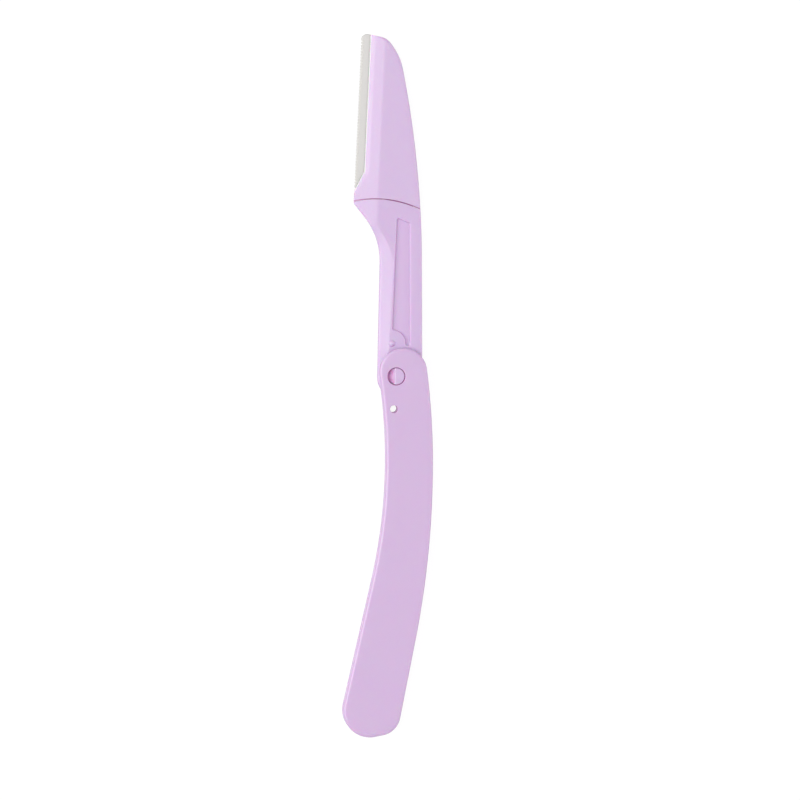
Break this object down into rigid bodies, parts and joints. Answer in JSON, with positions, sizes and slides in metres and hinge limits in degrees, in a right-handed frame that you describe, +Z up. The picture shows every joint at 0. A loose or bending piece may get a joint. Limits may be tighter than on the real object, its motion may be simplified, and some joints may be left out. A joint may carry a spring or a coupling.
{
  "type": "folding eyebrow razor",
  "caption": "Slim folding eyebrow razor: a curved grooved handle, a shank that turns between its plates, and a bevelled head with a steel blade behind a fine comb.",
  "frame": {"origin": "under the middle of the open razor, in the plane that the handle's back face lies on", "axes": "+Z up out of the back face and along the pivot, +Y from the handle toward the head, +X toward the blunt back of the head, so the cutting edge is on the -X side"},
  "size_m": [0.0192, 0.15, 0.0056],
  "materials": {
    "lilac_plastic": "satin moulded plastic",
    "blade_steel": "ground strip steel",
    "guard_steel": "satin thin sheet"
  },
  "bodies": {
    "handle": {"handle": "lilac_plastic"},
    "arm": {"shank": "lilac_plastic", "blade_head": "lilac_plastic", "blade": "blade_steel", "edge_guard": "guard_steel"}
  },
  "joints": [
    {"name": "fold", "type": "hinge", "parent": "handle", "child": "arm", "pos_m": [0.00175, 0.0021, 0.0028], "axis": [0, 0, 1], "range_deg": [0, 168.6]}
  ]
}
